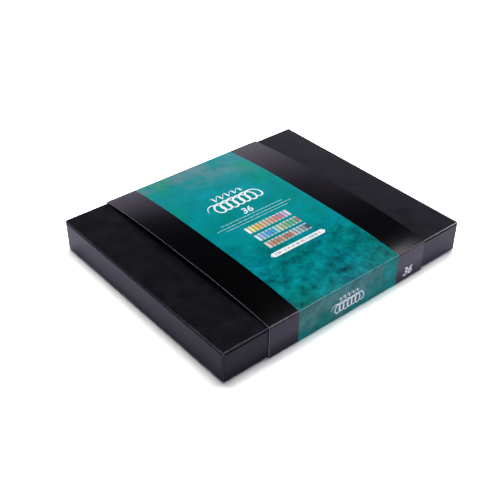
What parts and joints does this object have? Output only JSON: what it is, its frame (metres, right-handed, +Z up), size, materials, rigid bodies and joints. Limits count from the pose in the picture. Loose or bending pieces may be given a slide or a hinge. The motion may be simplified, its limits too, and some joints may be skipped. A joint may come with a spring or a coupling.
{
  "type": "pastel drawer box",
  "caption": "Flat black slide box with a ribbon-pull drawer of artist's pastels in foam beds, and a printed paperboard band round its middle.",
  "frame": {"origin": "on the surface that the box stands on, under the middle of the case", "axes": "+X the way the drawer slides out, +Z up, -Y towards the long side that carries the printed panel's lower end"},
  "size_m": [0.3116, 0.254, 0.0411],
  "materials": {
    "greyboard": "matte",
    "case_paper": "matte",
    "lining_paper": "matte",
    "drawer_paper": "matte",
    "ribbon": "satin",
    "foam": "matte",
    "divider_card": "matte",
    "band_paper": "matte",
    "sleeve_board": "satin",
    "pastel_01_chalk": "matte",
    "pastel_02_chalk": "matte",
    "pastel_03_chalk": "matte",
    "pastel_04_chalk": "matte",
    "pastel_05_chalk": "matte",
    "pastel_06_chalk": "matte",
    "pastel_07_chalk": "matte",
    "pastel_08_chalk": "matte",
    "pastel_09_chalk": "matte",
    "pastel_10_chalk": "matte",
    "pastel_11_chalk": "matte",
    "pastel_12_chalk": "matte",
    "pastel_13_chalk": "matte",
    "pastel_14_chalk": "matte",
    "pastel_15_chalk": "matte",
    "pastel_16_chalk": "matte",
    "pastel_17_chalk": "matte",
    "pastel_18_chalk": "matte",
    "pastel_19_chalk": "matte",
    "pastel_20_chalk": "matte",
    "pastel_21_chalk": "matte",
    "pastel_22_chalk": "matte",
    "pastel_23_chalk": "matte",
    "pastel_24_chalk": "matte",
    "pastel_25_chalk": "matte",
    "pastel_26_chalk": "matte",
    "pastel_27_chalk": "matte",
    "pastel_28_chalk": "matte",
    "pastel_29_chalk": "matte",
    "pastel_30_chalk": "matte",
    "pastel_31_chalk": "matte",
    "pastel_32_chalk": "matte",
    "pastel_33_chalk": "matte",
    "pastel_34_chalk": "matte",
    "pastel_35_chalk": "matte",
    "pastel_36_chalk": "matte"
  },
  "bodies": {
    "case": {"case_top_board": "greyboard", "case_bottom_board": "greyboard", "case_front_board": "greyboard", "case_rear_board": "greyboard", "case_end_board": "greyboard", "case_wrap": "case_paper", "case_lining": "lining_paper"},
    "drawer": {"drawer_bottom_board": "greyboard", "drawer_front_board": "greyboard", "drawer_back_board": "greyboard", "drawer_left_board": "greyboard", "drawer_right_board": "greyboard", "drawer_wrap": "drawer_paper", "drawer_lining": "lining_paper", "pull_ribbon": "ribbon", "base_pad": "foam", "pastel_bed_1": "foam", "pastel_bed_2": "foam", "pastel_bed_3": "foam", "row_divider_1": "divider_card", "row_divider_2": "divider_card", "pastel_01": "pastel_01_chalk", "pastel_02": "pastel_02_chalk", "pastel_03": "pastel_03_chalk", "pastel_04": "pastel_04_chalk", "pastel_05": "pastel_05_chalk", "pastel_06": "pastel_06_chalk", "pastel_07": "pastel_07_chalk", "pastel_08": "pastel_08_chalk", "pastel_09": "pastel_09_chalk", "pastel_10": "pastel_10_chalk", "pastel_11": "pastel_11_chalk", "pastel_12": "pastel_12_chalk", "pastel_13": "pastel_13_chalk", "pastel_14": "pastel_14_chalk", "pastel_15": "pastel_15_chalk", "pastel_16": "pastel_16_chalk", "pastel_17": "pastel_17_chalk", "pastel_18": "pastel_18_chalk", "pastel_19": "pastel_19_chalk", "pastel_20": "pastel_20_chalk", "pastel_21": "pastel_21_chalk", "pastel_22": "pastel_22_chalk", "pastel_23": "pastel_23_chalk", "pastel_24": "pastel_24_chalk", "pastel_25": "pastel_25_chalk", "pastel_26": "pastel_26_chalk", "pastel_27": "pastel_27_chalk", "pastel_28": "pastel_28_chalk", "pastel_29": "pastel_29_chalk", "pastel_30": "pastel_30_chalk", "pastel_31": "pastel_31_chalk", "pastel_32": "pastel_32_chalk", "pastel_33": "pastel_33_chalk", "pastel_34": "pastel_34_chalk", "pastel_35": "pastel_35_chalk", "pastel_36": "pastel_36_chalk", "pastel_bands": "band_paper"},
    "sleeve": {"sleeve_band": "sleeve_board"}
  },
  "joints": [
    {"name": "drawer_slide", "type": "slide", "parent": "case", "child": "drawer", "axis": [1, 0, 0], "range_m": [0, 0.297]},
    {"name": "sleeve_slide", "type": "slide", "parent": "case", "child": "sleeve", "axis": [1, 0, 0], "range_m": [-0.25, 0.251]}
  ]
}
